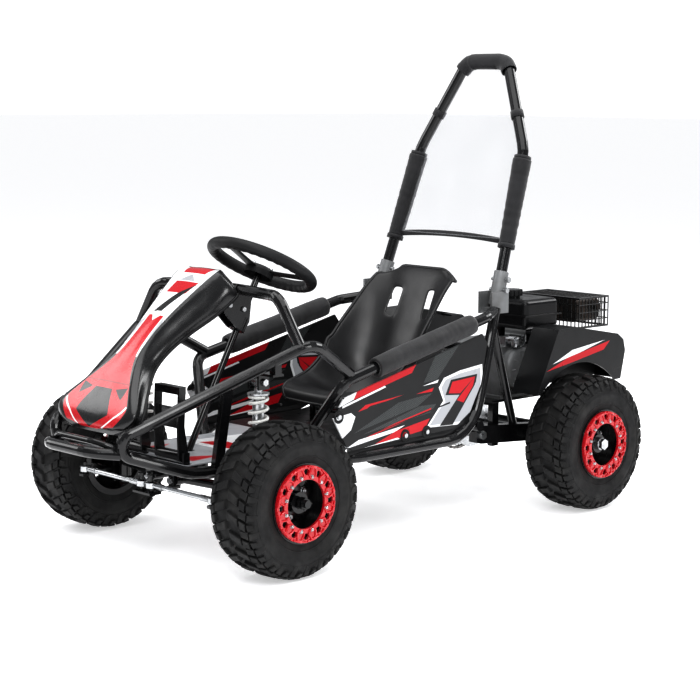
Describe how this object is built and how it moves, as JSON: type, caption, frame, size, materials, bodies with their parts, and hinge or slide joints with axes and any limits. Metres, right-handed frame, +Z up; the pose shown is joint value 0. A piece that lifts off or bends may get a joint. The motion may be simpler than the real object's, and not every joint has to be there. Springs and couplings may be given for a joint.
{
  "type": "off-road mini kart",
  "caption": "Small off-road go-kart: tubular roll-bar chassis with bucket seat, knobbly wheels, sprung front arms, steering, pedals and rear engine.",
  "frame": {"origin": "the centre of the whole kart's outline, on the ground", "axes": "+Z up from the ground, -Y towards the kart's front, +X towards the driver's left"},
  "size_m": [0.784, 1.546, 1.105],
  "materials": {
    "powder_coat_black": "gloss",
    "moulded_black": "satin",
    "foam_black": "matte",
    "rubber_black": "matte",
    "zinc_steel": "satin",
    "cast_aluminium": "matte",
    "red_paint": "gloss",
    "spring_white": "gloss",
    "clear_film": "gloss",
    "floor_sheet": "satin",
    "tank_black": "gloss",
    "muffler_steel": "matte",
    "grip_black": "matte"
  },
  "bodies": {
    "chassis": {"main_rails": "powder_coat_black", "top_tubes": "powder_coat_black", "dash_hoop": "powder_coat_black", "front_bumper": "powder_coat_black", "front_subframe": "powder_coat_black", "cross_members": "powder_coat_black", "rear_cradle": "powder_coat_black", "axle_bearings": "cast_aluminium", "steering_bracket": "powder_coat_black", "floor_pan": "floor_sheet", "seat": "moulded_black", "side_panel_left": "moulded_black", "side_panel_right": "moulded_black", "side_pad_left": "foam_black", "side_pad_right": "foam_black", "nose_fairing": "moulded_black", "rear_fender_left": "moulded_black", "rear_fender_right": "moulded_black", "roll_bar": "powder_coat_black", "roll_bar_clamps": "cast_aluminium", "wind_net": "clear_film", "engine_block": "cast_aluminium", "fuel_tank": "tank_black", "muffler": "muffler_steel", "muffler_guard": "powder_coat_black", "carburettor": "zinc_steel", "frame_bolts": "zinc_steel", "brake_caliper": "powder_coat_black", "drive_chain": "zinc_steel"},
    "fuel_cap": {"fuel_cap": "moulded_black"},
    "steering": {"steering_wheel": "grip_black", "steering_column": "powder_coat_black"},
    "arm_left": {"lower_arm_left": "powder_coat_black"},
    "arm_right": {"lower_arm_right": "powder_coat_black"},
    "shock_left": {"shock_body_left": "zinc_steel", "coil_spring_left": "spring_white"},
    "shock_right": {"shock_body_right": "zinc_steel", "coil_spring_right": "spring_white"},
    "shock_rod_left": {"shock_rod_left": "zinc_steel"},
    "shock_rod_right": {"shock_rod_right": "zinc_steel"},
    "knuckle_left": {"knuckle_left": "powder_coat_black"},
    "knuckle_right": {"knuckle_right": "powder_coat_black"},
    "tie_rod_left": {"tie_rod_left": "zinc_steel"},
    "tie_rod_right": {"tie_rod_right": "zinc_steel"},
    "wheel_left": {"tyre_front_left": "rubber_black", "rim_front_left": "powder_coat_black", "ring_front_left": "red_paint"},
    "wheel_right": {"tyre_front_right": "rubber_black", "rim_front_right": "powder_coat_black", "ring_front_right": "red_paint"},
    "rear_axle": {"rear_axle": "zinc_steel", "tyre_rear_left": "rubber_black", "tyre_rear_right": "rubber_black", "rear_rims": "powder_coat_black", "rear_rings": "red_paint", "axle_sprocket": "zinc_steel", "brake_disc": "zinc_steel"},
    "drive_sprocket": {"drive_sprocket": "zinc_steel"},
    "brake_pedal": {"brake_pedal": "powder_coat_black"},
    "throttle_pedal": {"throttle_pedal": "powder_coat_black"}
  },
  "joints": [
    {"name": "steering_turn", "type": "hinge", "parent": "chassis", "child": "steering", "pos_m": [0, -0.237, 0.595], "axis": [0, 0.4741, 0.8805], "range_deg": [-25, 25]},
    {"name": "arm_left", "type": "hinge", "parent": "chassis", "child": "arm_left", "pos_m": [0.04, -0.439, 0.172], "axis": [0, -1, 0], "range_deg": [-5, 5], "stiffness_Nm_per_rad": 632, "springref_deg": -3.27},
    {"name": "shock_swing_left", "type": "hinge", "parent": "chassis", "child": "shock_left", "pos_m": [0.2, -0.409, 0.396], "axis": [0, 1, 0], "range_deg": [-1, 1]},
    {"name": "shock_slide_left", "type": "slide", "parent": "shock_left", "child": "shock_rod_left", "axis": [0, 0, 1], "range_m": [-0.015, 0.015], "deforming": ["coil_spring_left"]},
    {"name": "knuckle_left", "type": "hinge", "parent": "arm_left", "child": "knuckle_left", "pos_m": [0.228, -0.441, 0.165], "axis": [0, 0, 1], "range_deg": [-17, 17]},
    {"name": "tie_rod_left", "type": "hinge", "parent": "knuckle_left", "child": "tie_rod_left", "pos_m": [0.225, -0.555, 0.163], "axis": [0, 0, 1], "range_deg": [-19, 19]},
    {"name": "wheel_spin_left", "type": "hinge", "parent": "knuckle_left", "child": "wheel_left", "pos_m": [0.321, -0.441, 0.165], "axis": [1, 0, 0], "continuous": true},
    {"name": "arm_right", "type": "hinge", "parent": "chassis", "child": "arm_right", "pos_m": [-0.04, -0.439, 0.172], "axis": [0, 1, 0], "range_deg": [-5, 5], "stiffness_Nm_per_rad": 632, "springref_deg": -3.27},
    {"name": "shock_swing_right", "type": "hinge", "parent": "chassis", "child": "shock_right", "pos_m": [-0.2, -0.409, 0.396], "axis": [0, -1, 0], "range_deg": [-1, 1]},
    {"name": "shock_slide_right", "type": "slide", "parent": "shock_right", "child": "shock_rod_right", "axis": [0, 0, 1], "range_m": [-0.015, 0.015], "deforming": ["coil_spring_right"]},
    {"name": "knuckle_right", "type": "hinge", "parent": "arm_right", "child": "knuckle_right", "pos_m": [-0.228, -0.441, 0.165], "axis": [0, 0, 1], "range_deg": [-17, 17]},
    {"name": "tie_rod_right", "type": "hinge", "parent": "knuckle_right", "child": "tie_rod_right", "pos_m": [-0.225, -0.555, 0.163], "axis": [0, 0, 1], "range_deg": [-19, 19]},
    {"name": "wheel_spin_right", "type": "hinge", "parent": "knuckle_right", "child": "wheel_right", "pos_m": [-0.321, -0.441, 0.165], "axis": [1, 0, 0], "continuous": true},
    {"name": "rear_axle_spin", "type": "hinge", "parent": "chassis", "child": "rear_axle", "pos_m": [0, 0.543, 0.165], "axis": [1, 0, 0], "continuous": true},
    {"name": "drive_sprocket_spin", "type": "hinge", "parent": "chassis", "child": "drive_sprocket", "pos_m": [-0.1, 0.506, 0.33], "axis": [1, 0, 0], "continuous": true},
    {"name": "brake_pedal_press", "type": "hinge", "parent": "chassis", "child": "brake_pedal", "pos_m": [0.064, -0.539, 0.236], "axis": [1, 0, 0], "range_deg": [0, 20], "stiffness_Nm_per_rad": 4, "springref_deg": -17.19},
    {"name": "throttle_pedal_press", "type": "hinge", "parent": "chassis", "child": "throttle_pedal", "pos_m": [-0.064, -0.539, 0.236], "axis": [1, 0, 0], "range_deg": [0, 20], "stiffness_Nm_per_rad": 4, "springref_deg": -17.19},
    {"name": "fuel_cap_turn", "type": "hinge", "parent": "chassis", "child": "fuel_cap", "pos_m": [0.108, 0.509, 0.508], "axis": [0, 0, 1], "range_deg": [0, 90]}
  ],
  "couplings": [
    {"joint": "shock_swing_left", "follows": "arm_left", "ratio": 0.12},
    {"joint": "shock_slide_left", "follows": "arm_left", "m_per_rad": 0.16},
    {"joint": "knuckle_left", "follows": "steering_turn", "ratio": 0.65},
    {"joint": "tie_rod_left", "follows": "steering_turn", "ratio": -0.725},
    {"joint": "shock_swing_right", "follows": "arm_right", "ratio": 0.12},
    {"joint": "shock_slide_right", "follows": "arm_right", "m_per_rad": 0.16},
    {"joint": "knuckle_right", "follows": "steering_turn", "ratio": 0.65},
    {"joint": "tie_rod_right", "follows": "steering_turn", "ratio": -0.725},
    {"joint": "drive_sprocket_spin", "follows": "rear_axle_spin", "ratio": 3.619}
  ]
}
